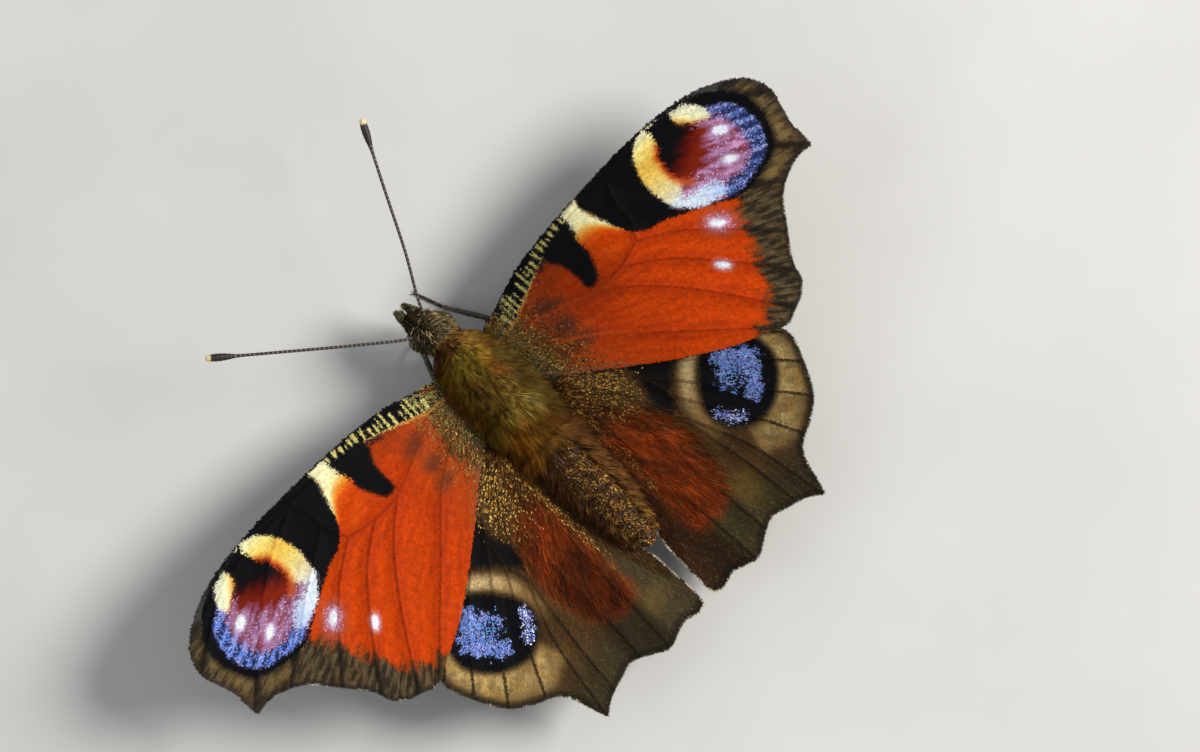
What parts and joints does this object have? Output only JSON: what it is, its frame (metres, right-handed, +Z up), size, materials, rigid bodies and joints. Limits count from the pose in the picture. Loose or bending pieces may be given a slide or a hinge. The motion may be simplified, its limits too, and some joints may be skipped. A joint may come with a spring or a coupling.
{
  "type": "peacock butterfly",
  "caption": "Life-size still peacock butterfly with spread wings, veined membranes and eyespots, standing on its legs with antennae raised.",
  "frame": {"origin": "bottom centre of the bounding box, on the floor that the feet stand on", "axes": "+X is the butterfly's left and runs along the wingspan, -Y is the way it faces, +Z is up"},
  "size_m": [0.0626, 0.0456, 0.0111],
  "materials": {
    "head_scales": "shaggy olive-grey scales and hair",
    "thorax_hair": "dense olive-gold hair with rusty tufts",
    "abdomen_scales": "dark brown scales sprinkled with gold",
    "proboscis": "smooth brown chitin",
    "eye": "dark faceted gloss",
    "palp_scales": "dark shaggy scales with pale tips",
    "antenna": "dark with fine pale rings, cream tip on the club",
    "forewing_scales": "brick red scales with black, cream, yellow and blue eyespot",
    "hindwing_scales": "brown and rust scales with black and blue eyespot",
    "leg": "dark chitin under short scales"
  },
  "bodies": {
    "root": {"head": "head_scales", "thorax": "thorax_hair", "abdomen": "abdomen_scales", "proboscis": "proboscis", "eye_left": "eye", "eye_right": "eye", "palp_left": "palp_scales", "palp_right": "palp_scales", "antenna_left": "antenna", "antenna_right": "antenna", "forewing_left": "forewing_scales", "forewing_right": "forewing_scales", "hindwing_left": "hindwing_scales", "hindwing_right": "hindwing_scales", "foreleg_left": "leg", "foreleg_right": "leg", "midleg_left": "leg", "midleg_right": "leg", "hindleg_left": "leg", "hindleg_right": "leg"}
  },
  "joints": []
}
